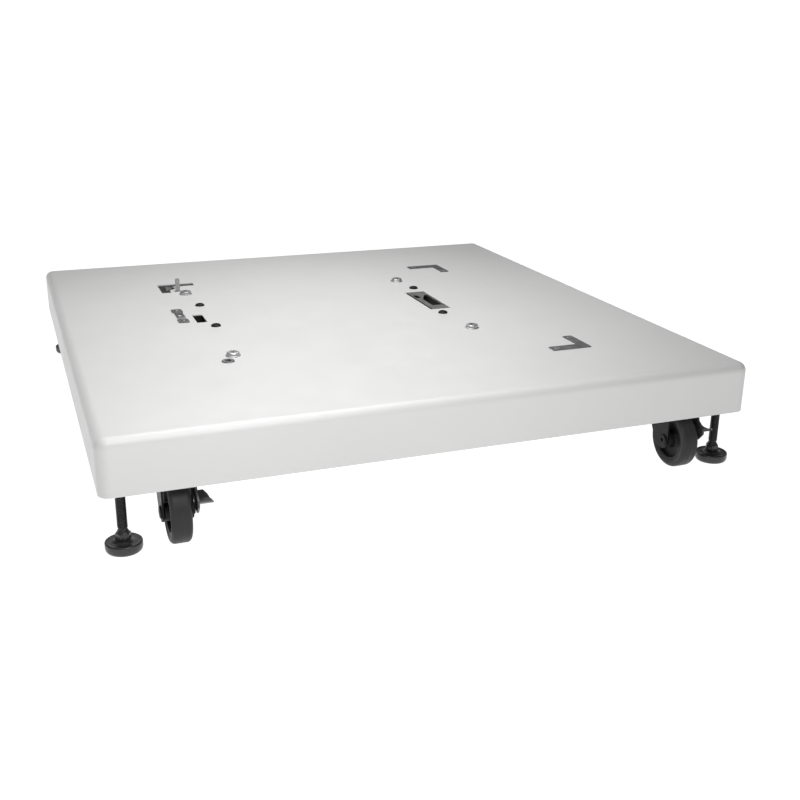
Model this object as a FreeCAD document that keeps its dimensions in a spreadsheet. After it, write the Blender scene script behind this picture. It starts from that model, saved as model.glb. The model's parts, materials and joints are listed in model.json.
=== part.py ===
"""A low mobile stand for a floor-standing office printer.

A pressed steel tray stands on four levelling feet, and rolls on four swivel casters when the
feet are wound up. The two front casters have a side brake. The tray's top carries the printer:
locating studs, corner locators, a hook keeper, a sliding latch and a spring clip.

Frame: origin on the floor under the tray's centre, +X to the right along the front edge,
+Y from the front to the back, +Z up. Millimetres.
"""

import FreeCAD, Part
import math
import os
import re

import Sketcher

SIZES = [
    ("tray_width", 710, "tray, left to right"),
    ("tray_depth", 737, "tray, front to back"),
    ("tray_height", 56.6, "tray's skirt, top face to lower edge"),
    ("top_height", 122, "tray's top face above the floor"),
    ("tray_sheet", 1.5, "tray's steel"),
    ("top_edge_radius", 10, "outside radius of the tray's top edge"),
    ("corner_radius", 12, "outside radius of the tray's upright corners"),
    ("lip_width", 6, "flange turned in at the tray's lower edge"),
    ("backing_sheet", 2, "steel of the plates under the tray's top"),
    ("channel_sheet", 1.5, "steel of the stiffening channels"),
    ("channel_height", 25, "stiffening channel, below the tray's top"),
    ("channel_width", 40, "stiffening channel, outside its webs"),
    ("channel_flange", 10, "stiffening channel's flange on each side"),
    ("side_channel_x", 262, "middle of a side channel"),
    ("side_channel_reach", 268, "half of a side channel's length"),
    ("end_channel_y", 300, "middle of a front or rear channel"),
    ("end_channel_reach", 228, "half of a front or rear channel's length"),
    ("bracket_inner_x", 243, "corner bracket's inner end"),
    ("bracket_outer_x", 343, "corner bracket's outer end"),
    ("bracket_inner_y", 283, "corner bracket's inner web"),
    ("bracket_flange", 10, "corner bracket's flange on the tray"),
    ("bracket_seat", 83, "corner bracket's underside above the floor"),
    ("bracket_upstand", 22, "corner bracket's edge against the skirt"),
    ("kingpin_x", 282, "caster's swivel axis from the middle"),
    ("kingpin_y", 322.8, "caster's swivel axis from the middle"),
    ("kingpin_radius", 5, "kingpin's shank"),
    ("kingpin_head_radius", 9, "kingpin's head"),
    ("kingpin_head_height", 3.4, "kingpin's head"),
    ("running_gap", 0.05, "radial clearance of every shaft in its hole"),
    ("end_gap", 0.3, "axial clearance between moving faces"),
    ("caster_plate_side", 62, "caster's square top plate"),
    ("caster_plate_sheet", 3, "caster's top plate"),
    ("caster_bolt_spacing", 44, "caster's bolt holes, both ways"),
    ("caster_bolt_radius", 3, "M6 bolt"),
    ("bolt_hole_radius", 3.3, "clearance hole for an M6 bolt"),
    ("bolt_nut_flats", 10, "M6 nut, across its flats"),
    ("bolt_nut_height", 5, "M6 nut"),
    ("cup_radius", 22, "caster plate's dust cup, outside"),
    ("cup_wall", 1.8, "caster plate's dust cup"),
    ("cup_depth", 5, "caster plate's dust cup"),
    ("ball_radius", 2.5, "swivel ball"),
    ("ball_circle_radius", 14, "circle that the swivel balls run on"),
    ("race_radius", 19.5, "fork's ball race"),
    ("fork_sheet", 2, "fork's legs"),
    ("fork_crown_thickness", 2.5, "fork's crown, under its ball race"),
    ("fork_crown_radius", 25, "fork's crown"),
    ("fork_gap_half", 13.2, "middle of the wheel to a leg's inner face"),
    ("fork_flare_half", 19, "middle of the wheel to a leg's inner face, at the crown"),
    ("fork_flare_height", 58, "height above which the legs flare"),
    ("fork_front", 7.5, "leg's front edge ahead of the axle"),
    ("fork_foot_radius", 11, "leg's round lower end"),
    ("fork_back", 18, "leg's upper end behind the kingpin"),
    ("caster_trail", 20, "axle ahead of the kingpin"),
    ("axle_height", 32.8, "axle above the floor"),
    ("axle_radius", 4, "axle"),
    ("axle_bore_radius", 2.2, "hole through the axle"),
    ("axle_head_radius", 6.5, "axle's head"),
    ("axle_head_height", 1.8, "axle's head"),
    ("wheel_radius", 32, "tyre"),
    ("tyre_half_width", 10.25, "half of the tyre's width"),
    ("tyre_seat_radius", 24.5, "inside of the tyre"),
    ("tyre_round", 4.6, "tyre's round shoulder"),
    ("rim_inner_radius", 21, "inside of the wheel's rim"),
    ("rim_half_width", 9, "half of the rim's width"),
    ("web_half_width", 4, "half of the web's thickness"),
    ("hub_radius", 9, "wheel's hub"),
    ("hub_half_width", 12.5, "half of the hub's width"),
    ("lever_inner_x", 15.6, "brake lever's inner face from the wheel's middle"),
    ("lever_sheet", 2, "brake lever's steel"),
    ("lever_pivot_back", 6.5, "brake pivot behind the axle"),
    ("lever_pivot_height", 53, "brake pivot above the floor"),
    ("lever_pin_radius", 2.5, "brake pivot"),
    ("lever_pin_head_radius", 5, "brake pivot's head"),
    ("pedal_reach", 31.5, "pedal's outer edge from the wheel's middle"),
    ("foot_x", 334, "levelling foot from the middle"),
    ("foot_y", 344, "levelling foot from the middle"),
    ("pad_radius", 17.9, "foot pad"),
    ("pad_height", 10, "foot pad's rim"),
    ("pad_crown", 1.2, "foot pad's boss above its rim"),
    ("socket_depth", 4.5, "socket for the stem in the foot pad"),
    ("stem_radius", 5, "M10 stem"),
    ("stem_top", 106, "top of the stem"),
    ("stem_collar_flats", 13, "hexagon collar, across its flats"),
    ("stem_collar_height", 7.5, "hexagon collar"),
    ("stem_flare", 2.5, "cone between the collar and the stem"),
    ("foot_hole_radius", 5.8, "clearance hole for the stem"),
    ("foot_nut_flats", 17, "M10 weld nut, across its flats"),
    ("foot_nut_height", 8, "M10 weld nut"),
    ("stud_left_x", -182, "left studs"),
    ("stud_left_y", 152, "left studs, each side of the middle"),
    ("stud_right_x", 121, "right studs"),
    ("stud_right_y", 132.5, "right studs, each side of the middle"),
    ("stud_flange_radius", 8.6, "stud's flange"),
    ("stud_flange_height", 1.2, "stud's flange"),
    ("stud_boss_radius", 7.4, "stud's boss"),
    ("stud_shoulder", 3.2, "height at which the stud's boss rounds over"),
    ("stud_height", 4.7, "stud above the tray"),
    ("stud_cross_width", 1.8, "slot of the stud's cross"),
    ("stud_cross_reach", 4.2, "half of the cross's length"),
    ("keeper_x", -187.9, "middle of the hook slot"),
    ("keeper_y", 18.3, "middle of the hook slot"),
    ("keeper_slot_width", 12.6, "hook slot, left to right"),
    ("keeper_slot_length", 38.5, "hook slot, front to back"),
    ("keeper_depth", 16, "hook pocket below the tray's top"),
    ("keeper_screw_x", -175.3, "keeper's screws"),
    ("keeper_screw_front_y", -22.9, "keeper's front screw"),
    ("keeper_screw_rear_y", 83.6, "keeper's rear screw"),
    ("latch_left", 107, "latch opening's left edge"),
    ("latch_right", 135, "latch opening's right edge"),
    ("latch_front", -33.5, "latch opening's front edge"),
    ("latch_rear", 63, "latch opening's rear edge"),
    ("latch_pan_depth", 12.5, "latch pan below the tray's underside"),
    ("latch_slide_length", 93, "latch slide"),
    ("latch_slide_width", 24.4, "latch slide"),
    ("latch_slide_sheet", 1.5, "latch slide's steel"),
    ("latch_slide_offset", 1, "latch slide's middle, to the right of its opening's"),
    ("latch_slide_drop", 0.2, "latch slide's top below the tray's"),
    ("latch_screw_front_x", 115.1, "latch's front screw"),
    ("latch_screw_front_y", -54.5, "latch's front screw"),
    ("latch_screw_rear_x", 128.4, "latch's rear screw"),
    ("latch_screw_rear_y", 84, "latch's rear screw"),
    ("button_head_radius", 6.2, "black button-head screw"),
    ("button_head_height", 2.9, "black button-head screw"),
    ("button_socket_radius", 2, "socket in the button head"),
    ("clip_x", -209.2, "middle of the spring clip"),
    ("clip_front", 2.5, "spring clip's front end"),
    ("clip_rear", 70.5, "spring clip's rear end"),
    ("clip_width", 13.5, "spring clip"),
    ("clip_sheet", 1, "spring clip"),
    ("clip_rise", 1.3, "spring clip's bridge above its pads"),
    ("clip_pad", 16.5, "spring clip's pad"),
    ("clip_waist", 9.5, "spring clip's bridge, left to right"),
    ("clip_window_width", 5, "window in the clip's bridge"),
    ("clip_window_length", 15, "window in the clip's bridge"),
    ("insert_x", -191.7, "threaded insert"),
    ("insert_y", -171.4, "threaded insert"),
    ("insert_flange_radius", 7.4, "threaded insert's flange"),
    ("insert_bore_radius", 3.4, "threaded insert's bore"),
    ("insert_flange_height", 1.3, "threaded insert's flange"),
    ("insert_length", 12, "threaded insert below the tray's top face"),
    ("locator_leg", 50, "corner slot's leg"),
    ("locator_slot_width", 12.5, "corner slot's leg that runs front to back"),
    ("locator_bar_width", 15.5, "corner slot's leg that runs left to right"),
    ("locator_margin", 5, "corner plate beyond its slot"),
    ("locator_rise", 0.7, "right-hand corner plates above the tray's top face"),
    ("locator_gap", 0.3, "corner plate's land to its slot's edge"),
    ("island_radius", 8, "D-shaped pad"),
    ("island_moat", 4.5, "gap around the D-shaped pad"),
    ("locator_left_x", -211.5, "left corner slot's outer corner"),
    ("locator_right_x", 219.2, "right corner slots' outer corner"),
    ("locator_rear_y", 217.3, "rear corner slots' outer corner"),
    ("locator_front_y", -254.8, "front corner slot's outer corner"),
    ("tongue_width", 6, "upright tongue"),
    ("tongue_height", 18, "upright tongue above the tray's top face"),
]

# Positions of points inside Sketcher's constraints.
START = 1
END = 2
CENTRE = 3

CORNERS = [("front_left", -1, -1), ("front_right", 1, -1), ("rear_left", -1, 1), ("rear_right", 1, 1)]
BRAKED = ("front_left", "front_right")
BALLS_PER_SWIVEL = 10

PREFIXED = {alias: f"sizes.{alias}" for alias, _, _ in SIZES}

doc = FreeCAD.newDocument("printer_stand")
subparts = []


# ---------------------------------------------------------------- sizes

sheet = doc.addObject("Spreadsheet::Sheet", "sizes")
for row, (alias, number, meaning) in enumerate(SIZES, start=1):
    sheet.set(f"A{row}", alias)
    sheet.set(f"B{row}", str(number))
    sheet.set(f"C{row}", meaning)
    sheet.setAlias(f"B{row}", alias)
doc.recompute()


def formula(words):
    """An expression on the sheet's aliases, as FreeCAD reads it: 'tray_width / 2' or 5."""
    return re.sub(r"[a-z][a-z_]+", lambda found: PREFIXED.get(found.group(), found.group()), f"({words})")


def value(words):
    """The number that an expression on the sheet's aliases comes to."""
    return float(sheet.evalExpression(formula(words)))


def bind(thing, **properties):
    """Ties a thing's properties to the sheet; a double underscore stands for a point in their name."""
    for name, words in properties.items():
        thing.setExpression(name.replace("__", "."), formula(words))


def place(thing, x=0, y=0, z=0):
    """Ties where a thing stands to the sheet."""
    bind(thing, Placement__Base__x=x, Placement__Base__y=y, Placement__Base__z=z)


# ---------------------------------------------------------------- sketches and features


def new_body(name, x=0, y=0, z=0):
    """A PartDesign body, placed from the sheet."""
    body = doc.addObject("PartDesign::Body", name)
    place(body, x, y, z)
    return body


def new_sketch(body, plane, offset=0):
    """A sketch on one of the body's own origin planes, moved along the plane's normal."""
    planes = {feature.Role: feature for feature in body.Origin.OriginFeatures}
    sketch = body.newObject("Sketcher::SketchObject", f"{body.Name}_sketch")
    sketch.AttachmentSupport = (planes[plane], [""])
    sketch.MapMode = "FlatFace"
    bind(sketch, AttachmentOffset__Base__z=offset)
    return sketch


def pin_point(sketch, edge, point, x, y):
    """Ties a point of a sketch to the sheet, across and up from the sketch's origin."""
    for kind, words in (("DistanceX", x), ("DistanceY", y)):
        number = sketch.addConstraint(Sketcher.Constraint(kind, edge, point, value(words)))
        sketch.setExpression(f"Constraints[{number}]", formula(words))


def outline(sketch, corners):
    """A closed outline through corners, which are pairs of expressions."""
    points = [FreeCAD.Vector(value(x), value(y), 0) for x, y in corners]
    first = sketch.GeometryCount
    for start, end in zip(points, points[1:] + points[:1]):
        sketch.addGeometry(Part.LineSegment(start, end))
    for step, (x, y) in enumerate(corners):
        following = first + (step + 1) % len(corners)
        sketch.addConstraint(Sketcher.Constraint("Coincident", first + step, END, following, START))
        pin_point(sketch, first + step, START, x, y)


def rectangle(sketch, left, right, low, high):
    """A closed rectangle between four expressions."""
    outline(sketch, [(left, low), (right, low), (right, high), (left, high)])


def circle(sketch, x, y, radius):
    """A circle whose centre and radius are expressions."""
    middle = FreeCAD.Vector(value(x), value(y), 0)
    edge = sketch.addGeometry(Part.Circle(middle, FreeCAD.Vector(0, 0, 1), value(radius)))
    pin_point(sketch, edge, CENTRE, x, y)
    number = sketch.addConstraint(Sketcher.Constraint("Radius", edge, value(radius)))
    sketch.setExpression(f"Constraints[{number}]", formula(radius))


def hexagon(sketch, flats):
    """A hexagon about the sketch's origin, with two corners on its X axis."""
    reach = f"({flats}) / sqrt(3)"
    turns = [(math.cos(math.radians(60 * step)), math.sin(math.radians(60 * step))) for step in range(6)]
    outline(sketch, [(f"{reach} * ({across:.9f})", f"{reach} * ({up:.9f})") for across, up in turns])


def pad(body, sketch, length, reverse=False):
    """Adds a sketch's outline, pulled along its normal."""
    feature = body.newObject("PartDesign::Pad", f"{body.Name}_pad")
    feature.Profile = sketch
    feature.Reversed = reverse
    bind(feature, Length=length)
    doc.recompute()
    return feature


def pocket(body, sketch, length, reverse=False):
    """Cuts a sketch's outline, pushed against its normal, and checks that it cuts."""
    before = body.Shape.Volume
    feature = body.newObject("PartDesign::Pocket", f"{body.Name}_pocket")
    feature.Profile = sketch
    feature.Reversed = reverse
    bind(feature, Length=length)
    doc.recompute()
    if body.Shape.Volume >= before - 1e-6:
        raise ValueError(f"{feature.Label} cuts nothing")
    return feature


def revolve(body, sketch, axis="V_Axis"):
    """Adds a sketch's outline, turned about the sketch's upright or level axis."""
    feature = body.newObject("PartDesign::Revolution", f"{body.Name}_turned")
    feature.Profile = sketch
    feature.ReferenceAxis = (sketch, [axis])
    feature.Angle = 360
    doc.recompute()
    return feature


def round_edges(body, radius, chosen):
    """Rounds the edges of the body's last feature that chosen(edge) accepts."""
    base = body.Tip
    names = [f"Edge{i}" for i, edge in enumerate(base.Shape.Edges, start=1) if chosen(edge)]
    feature = body.newObject("PartDesign::Fillet", f"{body.Name}_round")
    feature.Base = (base, names)
    bind(feature, Radius=radius)
    doc.recompute()
    return feature


def is_along(edge, axis):
    """Whether an edge is straight and lies along an axis, 0, 1 or 2."""
    if not isinstance(edge.Curve, (Part.Line, Part.LineSegment)):
        return False
    direction = edge.Vertexes[-1].Point - edge.Vertexes[0].Point
    return all(abs(direction[other]) < 1e-6 for other in range(3) if other != axis)


def solid_of(base, tools, name):
    """A base with one tool, or several fused tools, cut away."""
    tool = tools[0]
    if len(tools) > 1:
        tool = doc.addObject("Part::MultiFuse", f"{name}_tools")
        tool.Shapes = tools
    result = doc.addObject("Part::Cut", name)
    result.Base = base
    result.Tool = tool
    doc.recompute()
    return result


def box(name, left, right, front, rear, low, high):
    """A Part::Box between six expressions."""
    block = doc.addObject("Part::Box", name)
    bind(block, Length=f"({right}) - ({left})", Width=f"({rear}) - ({front})", Height=f"({high}) - ({low})")
    place(block, left, front, low)
    return block


def cylinder(name, x, y, low, high, radius):
    """An upright Part::Cylinder between two heights."""
    rod = doc.addObject("Part::Cylinder", name)
    bind(rod, Radius=radius, Height=f"({high}) - ({low})")
    place(rod, x, y, low)
    return rod


def rounded_box(name, block, upright_radius, top_radius):
    """A box with its upright edges rounded, and then its top edges."""
    shapes = [block]
    for radius, upright in ((upright_radius, True), (top_radius, False)):
        doc.recompute()
        base = shapes[-1]
        top = base.Shape.BoundBox.ZMax
        picked = []
        for number, edge in enumerate(base.Shape.Edges, start=1):
            heights = [vertex.Z for vertex in edge.Vertexes]
            at_top = min(heights) > top - 1e-6
            if at_top != upright and (at_top or is_along(edge, 2)):
                picked.append((number, value(radius), value(radius)))
        rounded = doc.addObject("Part::Fillet", name)
        rounded.Base = base
        rounded.Edges = picked
        shapes.append(rounded)
    doc.recompute()
    return shapes[-1]


def group(name, master, places):
    """One node of separate solids: a master's shape set down at each place."""
    solids = [master.Shape.translated(FreeCAD.Vector(*where)) for where in places]
    node = doc.addObject("Part::Feature", name)
    node.Shape = Part.makeCompound(solids)
    keep(node, name)


def keep(thing, name):
    """Names a finished sub-part, which is then written to a file of that name."""
    thing.Label = name
    subparts.append(thing)


# ---------------------------------------------------------------- tray

UNDERSIDE = "top_height - tray_sheet"
SKIRT_EDGE = "top_height - tray_height"


def locator_slots():
    """Each corner slot: name, outer corner, and the way that its legs run across and along."""
    return [
        ("rear_left", "locator_left_x", "locator_rear_y", 1, -1),
        ("rear_right", "locator_right_x", "locator_rear_y", -1, -1),
        ("front_right", "locator_right_x", "locator_front_y", -1, 1),
    ]


def span(start, length, way):
    """The lower and upper end of a run from start, forwards or backwards."""
    if way > 0:
        return start, f"{start} + {length}"
    return f"{start} - {length}", start


def latch_box(name, low, high):
    return box(name, "latch_left", "latch_right", "latch_front", "latch_rear", low, high)


def make_tray():
    """The pressed tray: a shell with a turned-in lip, cut through for what the top carries."""
    half_width = "tray_width / 2"
    half_depth = "tray_depth / 2"
    sides = (f"-{half_width}", half_width)
    block = box("tray_block", *sides, f"-{half_depth}", half_depth, SKIRT_EDGE, "top_height")
    outside = rounded_box("tray_outside", block, "corner_radius", "top_edge_radius")
    inner_x = f"{half_width} - tray_sheet"
    inner_y = f"{half_depth} - tray_sheet"
    floor = f"{SKIRT_EDGE} + tray_sheet"
    hollow = box("tray_hollow", f"-({inner_x})", inner_x, f"-({inner_y})", inner_y, floor, UNDERSIDE)
    inside = rounded_box("tray_inside", hollow, "corner_radius - tray_sheet", "top_edge_radius - tray_sheet")
    shell = solid_of(outside, [inside], "tray_shell")

    mouth_x = f"{inner_x} - lip_width"
    mouth_y = f"{inner_y} - lip_width"
    below = f"{SKIRT_EDGE} - 1"
    mouth = box("tray_mouth", f"-({mouth_x})", mouth_x, f"-({mouth_y})", mouth_y, below, f"{SKIRT_EDGE} + 3")
    above = "top_height + 1"
    deep = f"{UNDERSIDE} - 1"
    island_x, island_y = ISLAND
    reach = "island_radius + island_moat"
    ring = cylinder("island_ring", island_x, island_y, deep, above, reach)
    beyond = box(
        "island_far_side",
        f"{island_x} - 2 * ({reach})",
        island_x,
        f"{island_y} - 2 * ({reach})",
        f"{island_y} + 2 * ({reach})",
        f"{deep} - 1",
        f"{above} + 1",
    )
    moat = solid_of(ring, [beyond], "island_opening")
    cuts = [
        mouth,
        latch_box("latch_opening", deep, above),
        box(
            "keeper_opening",
            "keeper_x - keeper_slot_width / 2",
            "keeper_x + keeper_slot_width / 2",
            "keeper_y - keeper_slot_length / 2",
            "keeper_y + keeper_slot_length / 2",
            deep,
            above,
        ),
        cylinder("insert_hole", "insert_x", "insert_y", deep, above, "insert_bore_radius + 1.6"),
        moat,
        box(
            "tongue_opening",
            f"{TONGUE_X} - tongue_width / 2 - 1.5",
            f"{TONGUE_X} + tongue_width / 2 + 1.5",
            f"{TONGUE_Y} - 3",
            f"{TONGUE_Y} + 3",
            deep,
            above,
        ),
    ]
    for name, x, y, across, along in locator_slots():
        left, right = span(x, "locator_leg", across)
        front, rear = span(y, "locator_bar_width", along)
        cuts.append(box(f"slot_{name}_x", left, right, front, rear, deep, above))
        left, right = span(x, "locator_slot_width", across)
        front, rear = span(y, "locator_leg", along)
        cuts.append(box(f"slot_{name}_y", left, right, front, rear, deep, above))
    for number, (x, y) in enumerate(stud_places() + screw_places(), start=1):
        cuts.append(cylinder(f"screw_hole_{number}", x, y, deep, above, "bolt_hole_radius"))
    for number, y in enumerate(clip_rivet_places(), start=1):
        cuts.append(cylinder(f"clip_hole_{number}", "clip_x", y, deep, above, "1.6"))
    keep(solid_of(shell, cuts, "top_tray"), "top_tray")


def stud_places():
    """The four locating studs, as expressions."""
    left = [("stud_left_x", f"{way} * stud_left_y") for way in (-1, 1)]
    right = [("stud_right_x", f"{way} * stud_right_y") for way in (-1, 1)]
    return left + right


def screw_places():
    """The four black button-head screws: two for the hook keeper, two for the latch."""
    return [
        ("keeper_screw_x", "keeper_screw_front_y"),
        ("keeper_screw_x", "keeper_screw_rear_y"),
        ("latch_screw_front_x", "latch_screw_front_y"),
        ("latch_screw_rear_x", "latch_screw_rear_y"),
    ]


def clip_rivet_places():
    return ["clip_front + clip_pad / 2", "clip_rear - clip_pad / 2"]


# ---------------------------------------------------------------- what the tray's top carries

ISLAND = ("locator_left_x + 9", "locator_rear_y - 23.3")
TONGUE_X = "locator_left_x + locator_slot_width + 9.8"
TONGUE_Y = "locator_rear_y - 44"
LOCATOR_NUT_RADIUS = "3.4"
LOCATOR_NUT_OFFSETS = [
    ("locator_leg - 8", "locator_bar_width / 2"),
    ("locator_slot_width / 2", "locator_leg - 8"),
]


def is_land_corner(edge):
    """Whether an upright edge is one of a corner plate's raised land, other than its inner corner."""
    land_top = value("backing_sheet + tray_sheet + locator_rise")
    if not is_along(edge, 2) or edge.BoundBox.ZMax < land_top - 0.1:
        return False
    corner = edge.Vertexes[0]
    from_sides = (abs(corner.X), abs(corner.Y))
    leg_end = value("locator_leg") - 5
    return min(from_sides) < 5 or max(from_sides) > leg_end


def make_locators():
    """L-shaped steel plates in the corner slots. The left one lies lower and has an upright tongue."""
    for name, x, y, across, along in locator_slots():
        body = new_body(f"corner_locator_{name}", x, y, f"{UNDERSIDE} - backing_sheet")
        reach = "locator_leg + locator_margin"
        width = "locator_slot_width + locator_margin"
        bar = "locator_bar_width + locator_margin"
        sketch = new_sketch(body, "XY_Plane")
        corners = [
            ("-locator_margin", "-locator_margin"),
            (reach, "-locator_margin"),
            (reach, bar),
            (width, bar),
            (width, reach),
            ("-locator_margin", reach),
        ]
        if name == "rear_left":
            tongue_side = f"{width} + 16"
            corners[3:4] = [(tongue_side, bar), (tongue_side, reach)]
        outline(sketch, [(f"{across} * ({a})", f"{along} * ({b})") for a, b in corners])
        pad(body, sketch, "backing_sheet")
        round_edges(body, "3", lambda edge: is_along(edge, 2))
        if name != "rear_left":
            land = new_sketch(body, "XY_Plane", "backing_sheet - 0.5")
            edge = "locator_gap"
            far = "locator_leg - locator_gap"
            inner = "locator_slot_width - locator_gap"
            bar_inner = "locator_bar_width - locator_gap"
            corners = [(edge, edge), (far, edge), (far, bar_inner)]
            corners += [(inner, bar_inner), (inner, far), (edge, far)]
            outline(land, [(f"{across} * ({a})", f"{along} * ({b})") for a, b in corners])
            pad(body, land, "tray_sheet + locator_rise + 0.5")
            round_edges(body, "2.5", is_land_corner)
            holes = new_sketch(body, "XY_Plane", "backing_sheet + tray_sheet + locator_rise")
            for a, b in LOCATOR_NUT_OFFSETS:
                circle(holes, f"{across} * ({a})", f"{along} * ({b})", LOCATOR_NUT_RADIUS)
            pocket(body, holes, "backing_sheet + tray_sheet + locator_rise")
        else:
            tongue = new_sketch(body, "XY_Plane", "backing_sheet - 0.5")
            middle = f"{TONGUE_X} - ({x})"
            rear = f"{TONGUE_Y} - ({y})"
            left, right = f"{middle} - tongue_width / 2", f"{middle} + tongue_width / 2"
            rectangle(tongue, left, right, f"{rear} - 1", f"{rear} + 1")
            pad(body, tongue, "tongue_height + tray_sheet + 0.5")
            tip = value("backing_sheet + tray_sheet + tongue_height")
            round_edges(body, "2.2", lambda edge: is_along(edge, 1) and edge.BoundBox.ZMin > tip - 0.1)
        keep(body, body.Name)


def make_locator_pad():
    """The D-shaped pad in the left corner locator, level with the tray's top."""
    x, y = ISLAND
    body = new_body("locator_pad", x, y, UNDERSIDE)
    disc = new_sketch(body, "XY_Plane")
    circle(disc, "0", "0", "island_radius")
    pad(body, disc, "tray_sheet")
    flat = new_sketch(body, "XY_Plane", "tray_sheet")
    rectangle(flat, "-island_radius - 1", "0", "-island_radius - 1", "island_radius + 1")
    pocket(body, flat, "tray_sheet")
    keep(body, "locator_pad")


def make_locator_nuts():
    """Clinch nuts near the ends of the right-hand locators' legs, seen through the slots."""
    body = new_body("locator_nut_master")
    sketch = new_sketch(body, "XZ_Plane")
    ring_top = "tray_sheet + locator_rise + 0.4"
    corners = [("1.6", "-5"), (LOCATOR_NUT_RADIUS, "-5"), (LOCATOR_NUT_RADIUS, ring_top), ("1.6", ring_top)]
    outline(sketch, corners)
    revolve(body, sketch)
    places = []
    for name, x, y, across, along in locator_slots():
        if name == "rear_left":
            continue
        for a, b in LOCATOR_NUT_OFFSETS:
            nut_x = value(f"{x} + {across} * ({a})")
            nut_y = value(f"{y} + {along} * ({b})")
            places.append((nut_x, nut_y, value(UNDERSIDE)))
    group("locator_nuts", body, places)


def make_studs():
    """Locating studs: a flange, a boss with a cross in its top, and an M6 shank below the tray."""
    body = new_body("stud_master")
    sketch = new_sketch(body, "XZ_Plane")
    outline(
        sketch,
        [
            ("0", "-11"),
            ("caster_bolt_radius", "-11"),
            ("caster_bolt_radius", "0"),
            ("stud_flange_radius", "0"),
            ("stud_flange_radius", "stud_flange_height * 0.6"),
            ("stud_flange_radius - 0.8", "stud_flange_height"),
            ("stud_boss_radius", "stud_flange_height"),
            ("stud_boss_radius", "stud_shoulder"),
            ("stud_boss_radius - 0.6", "stud_shoulder + 0.9"),
            ("stud_boss_radius - 1.9", "stud_height"),
            ("0", "stud_height"),
        ],
    )
    revolve(body, sketch)
    cross = new_sketch(body, "XY_Plane", "stud_height")
    half = "stud_cross_width / 2"
    reach = "stud_cross_reach"
    arm = [(half, reach), (half, half), (reach, half)]
    corners = arm + [(a, f"-({b})") for a, b in reversed(arm)]
    corners += [(f"-({a})", f"-({b})") for a, b in arm] + [(f"-({a})", b) for a, b in reversed(arm)]
    outline(cross, corners)
    pocket(body, cross, "1.8")
    top = value("top_height")
    group("locating_studs", body, [(value(x), value(y), top) for x, y in stud_places()])


def hex_nut(name, flats, height, bore):
    """A hexagon nut standing on the origin."""
    body = new_body(name)
    sketch = new_sketch(body, "XY_Plane")
    hexagon(sketch, flats)
    circle(sketch, "0", "0", bore)
    pad(body, sketch, height)
    return body


def make_backing_screws():
    """Black button-head screws that hold the keeper and the latch pan to the tray."""
    body = new_body("button_screw_master")
    sketch = new_sketch(body, "XZ_Plane")
    outline(
        sketch,
        [
            ("0", "-12"),
            ("caster_bolt_radius", "-12"),
            ("caster_bolt_radius", "0"),
            ("button_head_radius", "0"),
            ("button_head_radius - 0.3", "button_head_height * 0.45"),
            ("button_head_radius * 0.72", "button_head_height * 0.86"),
            ("button_head_radius * 0.4", "button_head_height"),
            ("0", "button_head_height"),
        ],
    )
    revolve(body, sketch)
    socket = new_sketch(body, "XY_Plane", "button_head_height")
    hexagon(socket, "button_socket_radius * 2")
    pocket(body, socket, "1.4")
    top = value("top_height")
    group("backing_screws", body, [(value(x), value(y), top) for x, y in screw_places()])


def make_hook_keeper():
    """The plate under the hook slot, with the pocket that a printer's hook drops into."""
    body = new_body("hook_keeper", "keeper_x", "keeper_y", f"{UNDERSIDE} - backing_sheet")
    front = "keeper_screw_front_y - keeper_y - 11"
    rear = "keeper_screw_rear_y - keeper_y + 11"
    plate = new_sketch(body, "XY_Plane")
    rectangle(plate, "-11", "22", front, rear)
    pad(body, plate, "backing_sheet")
    round_edges(body, "4", lambda edge: is_along(edge, 2))
    wall = "keeper_slot_width / 2 + 2.4"
    end = "keeper_slot_length / 2 + 2.4"
    sleeve = new_sketch(body, "XY_Plane")
    rectangle(sleeve, f"-({wall})", wall, f"-({end})", end)
    pad(body, sleeve, "keeper_depth", reverse=True)
    well = new_sketch(body, "XY_Plane", "backing_sheet")
    rectangle(well, f"-({wall} - 1.8)", f"{wall} - 1.8", f"-({end} - 1.8)", f"{end} - 1.8")
    pocket(body, well, "backing_sheet + keeper_depth - 1.8")
    holes = new_sketch(body, "XY_Plane", "backing_sheet")
    for y in ("keeper_screw_front_y", "keeper_screw_rear_y"):
        circle(holes, "keeper_screw_x - keeper_x", f"{y} - keeper_y", "bolt_hole_radius")
    pocket(body, holes, "backing_sheet")
    keep(body, "hook_keeper")

    lug = new_body("keeper_lug", "keeper_x", "keeper_y", f"{UNDERSIDE} - backing_sheet - keeper_depth + 1.8")
    sketch = new_sketch(lug, "XY_Plane")
    rectangle(sketch, "-4.6", "-2.8", "-16", "-10")
    pad(lug, sketch, "keeper_depth - 1")
    round_edges(lug, "0.8", lambda edge: is_along(edge, 1))
    keep(lug, "keeper_lug")


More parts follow.
